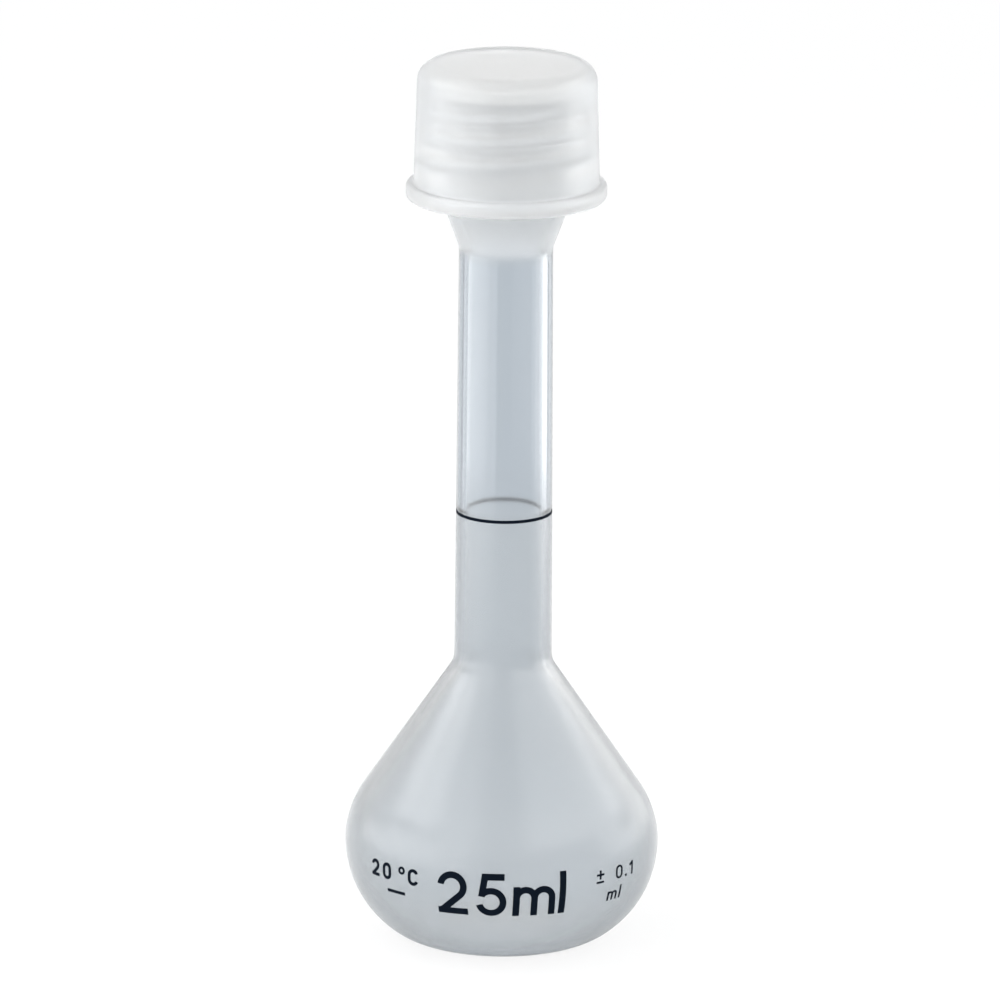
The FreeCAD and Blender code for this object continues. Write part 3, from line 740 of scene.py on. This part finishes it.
# %% [markdown]
# ## Floor and room
#
# The flask stands on a plain pale floor in a white room. To the camera the floor is nearly white
# paper, and it keeps a faint shadow. Seen through the plastic it is a soft grey instead. The
# plastic itself is nearly white, so with white behind it the neck and the bulb would all but
# vanish, while the photograph shows them grey.

# %% Floor
REACH = 3.0
GLOW_SHARE = 0.85
WHITE = (1, 1, 1, 1)
corners = [(-REACH, -REACH, 0), (REACH, -REACH, 0), (REACH, REACH, 0), (-REACH, REACH, 0)]
floor = bpy.data.objects.new("floor", bpy.data.meshes.new("floor"))
floor.data.from_pydata(corners, [], [(0, 1, 2, 3)])
scene.collection.objects.link(floor)
pale = bpy.data.materials.new("pale studio floor")
pale.use_nodes = True
tree = pale.node_tree
tree.nodes.clear()
path = add(tree, "ShaderNodeLightPath").outputs
share = add(
    tree, "ShaderNodeMath", {"operation": "MULTIPLY"}, _0=path["Is Camera Ray"], _1=GLOW_SHARE
).outputs[0]
paint = add(tree, "ShaderNodeBsdfDiffuse", Color=linear("#f4f5f6")).outputs[0]
glow = add(tree, "ShaderNodeEmission", Color=WHITE, Strength=1.0).outputs[0]
mixed = add(tree, "ShaderNodeMixShader", _0=share, _1=paint, _2=glow).outputs[0]
grey = add(tree, "ShaderNodeEmission", Color=linear("#b3bcc4"), Strength=1.0).outputs[0]
through = path["Is Transmission Ray"]
mixed = add(tree, "ShaderNodeMixShader", _0=through, _1=mixed, _2=grey).outputs[0]
add(tree, "ShaderNodeOutputMaterial", Surface=mixed)
floor.data.materials.append(pale)
print("floor: %.0f m square" % (2 * REACH))

# %% A plain white room
world = bpy.data.worlds.new("white room")
scene.world = world
world.use_nodes = True
room = world.node_tree.nodes["Background"]
room.inputs["Color"].default_value = WHITE
room.inputs["Strength"].default_value = 1.0
print("room:", world.name)

# %% [markdown]
# ## Soft boxes
#
# Glossy plastic shows what stands round it, so soft boxes stand close, in a ring 22 cm from the
# axis. Low boxes at the left draw the bright band on the neck, a small one behind them the streak
# on the cone, and a narrow strip behind on the right the thin bright line on the neck. A larger
# box hangs above on the left, for the top of the cap. Nothing bright stands in front, which leaves
# the middle of the neck and bulb a calm grey. One large lamp would be simpler, but it would light
# the cap and the bulb alike, and draw a single spot.

# %% Helper: one soft box
SEEN_THROUGH = 0.3
BOTH_WALLS = 3.5


def soft_box(name, place, look_at, size, brightness):
    """A rectangular soft light; a brightness of 1 looks like white paper."""
    lamp = bpy.data.lights.new(name, "AREA")
    lamp.shape = "RECTANGLE"
    lamp.size, lamp.size_y = size
    lamp.energy = brightness * math.pi * size[0] * size[1]
    # seen straight through both walls of the clear neck, a box looks as dim as the floor beyond it
    lamp.use_nodes = True
    tree = lamp.node_tree
    depth = add(tree, "ShaderNodeLightPath").outputs["Transmission Depth"]
    through = add(
        tree, "ShaderNodeMath", {"operation": "GREATER_THAN"}, _0=depth, _1=BOTH_WALLS
    ).outputs[0]
    dimmed = add(tree, "ShaderNodeMapRange", Value=through, To_Min=1.0, To_Max=SEEN_THROUGH)
    tree.links.new(dimmed.outputs[0], tree.nodes["Emission"].inputs["Strength"])
    box = bpy.data.objects.new(name, lamp)
    box.location = place
    box.rotation_euler = (Vector(look_at) - box.location).to_track_quat("-Z", "Y").to_euler()
    box.visible_camera = False
    scene.collection.objects.link(box)
    print("%s: %.2f x %.2f m" % (name, *size))

# %% Stand the boxes round the flask; bearings count from the camera's side towards +X
AWAY = 0.22
for name, start, stop, foot, top, brightness in [
    ("left front fill", -46, -22, 0.0, 0.32, 0.98),
    ("left low box", -98, -46, 0.0, 0.10, 1.7),
    ("left high fill", -74, -46, 0.10, 0.32, 0.68),
    ("left back box", -116, -92, 0.13, 0.22, 2.2),
    ("left low back box", -122, -98, 0.0, 0.05, 1.2),
    ("right high fill", 22, 78, 0.10, 0.32, 1.07),
    ("right side box", 78, 103, 0.0, 0.32, 1.16),
    ("right strip", 103, 121, 0.10, 0.32, 2.4),
    ("right low strip", 103, 121, 0.0, 0.05, 1.3),
    ("right back fill", 121, 146, 0.0, 0.10, 0.76),
]:
    middle = math.radians((start + stop) / 2)
    wide = 2 * AWAY * math.tan(math.radians((stop - start) / 2))
    height = (foot + top) / 2
    place = (AWAY * math.sin(middle), -AWAY * math.cos(middle), height)
    soft_box(name, place, (0, 0, height), (wide, top - foot), brightness)
soft_box("top left soft box", (-0.4, 0, 0.5), (0, 0, 0.055), (0.4, 0.4), 2.4)

# %% [markdown]
# ## Camera
#
# The photograph was taken from a little above with a long lens, and its frame is 127 mm wide at
# the flask. The flask leans by less than half a degree in it, which the camera's roll follows.

# %% Camera
PIXEL = 0.127 * MM
FRAME = 1000
TILT = 15.0
ROLL = 0.43
DISTANCE = 1.4
AIM_ASIDE = -4.2 * PIXEL
AIM_HEIGHT = 57.25 * MM
target = Vector((AIM_ASIDE, 0, AIM_HEIGHT))
lens = bpy.data.cameras.new("camera")
camera = bpy.data.objects.new("camera", lens)
lens.sensor_width = 36
lens.lens = lens.sensor_width * DISTANCE / (FRAME * PIXEL)
lens.clip_start = 0.01
lens.clip_end = 20
tilt = math.radians(TILT)
camera.location = target + DISTANCE * Vector((0, -math.cos(tilt), math.sin(tilt)))
camera.rotation_euler = (math.radians(90 - TILT), 0, 0)
camera.rotation_euler.rotate_axis("Z", math.radians(ROLL))
scene.collection.objects.link(camera)
scene.camera = camera
scene.view_settings.view_transform = "Standard"
print("camera: %.1f m away, %.0f mm lens" % (DISTANCE, lens.lens))
